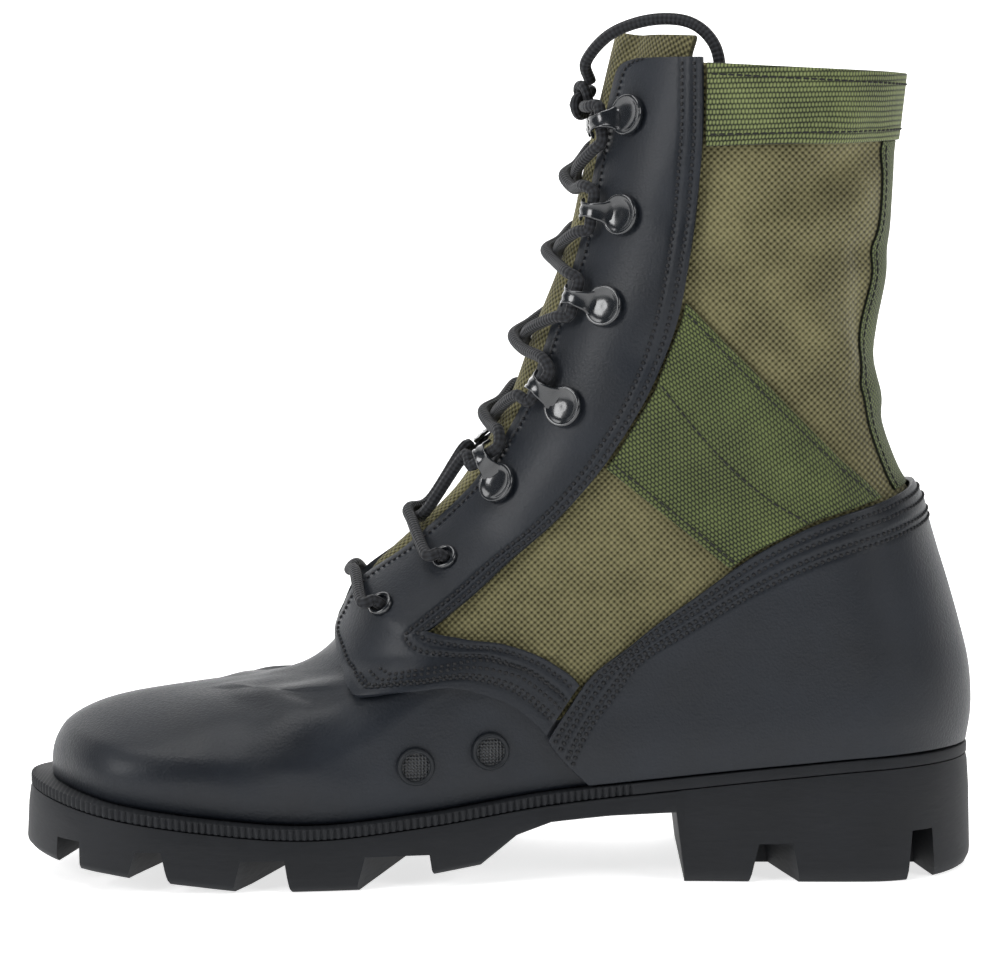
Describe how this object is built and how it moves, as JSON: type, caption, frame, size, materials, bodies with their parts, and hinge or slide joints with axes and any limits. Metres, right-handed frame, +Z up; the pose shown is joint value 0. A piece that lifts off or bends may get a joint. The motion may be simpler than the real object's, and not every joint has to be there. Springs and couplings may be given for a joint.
{
  "type": "jungle boot",
  "caption": "Right lace-up jungle boot: leather foot, canvas shaft with webbing, and a lugged rubber sole with a raised heel.",
  "frame": {"origin": "on the floor, below the middle of the sole's length and width", "axes": "+X from the toe to the heel, +Y from the inner to the outer side of the foot, +Z up"},
  "size_m": [0.3078, 0.1099, 0.2749],
  "materials": {
    "rubber": "matte black moulded rubber",
    "leather": "black full-grain leather, satin",
    "canvas": "olive plain-weave cotton and nylon canvas; the foot part of the same node is black leather",
    "webbing": "green ribbed webbing",
    "black_metal": "glossy black enamel on pressed metal",
    "lace_cord": "black braided cord",
    "insole_board": "dark removable insole"
  },
  "bodies": {
    "root": {"outsole": "rubber", "midsole": "rubber", "insole": "insole_board", "upper": "canvas", "tongue": "canvas", "eyestay_inner": "leather", "eyestay_outer": "leather", "counter": "leather", "collar_band": "webbing", "back_stay": "webbing", "ankle_brace_inner": "webbing", "ankle_brace_outer": "webbing", "hook_inner_1": "black_metal", "hook_inner_2": "black_metal", "hook_inner_3": "black_metal", "hook_inner_4": "black_metal", "hook_inner_5": "black_metal", "eyelet_inner_1": "black_metal", "eyelet_inner_2": "black_metal", "hook_outer_1": "black_metal", "hook_outer_2": "black_metal", "hook_outer_3": "black_metal", "hook_outer_4": "black_metal", "hook_outer_5": "black_metal", "eyelet_outer_1": "black_metal", "eyelet_outer_2": "black_metal", "vent_1": "black_metal", "vent_2": "black_metal", "lace": "lace_cord", "lace_bar": "lace_cord", "lace_knot": "lace_cord", "lace_loop": "lace_cord"}
  },
  "joints": []
}
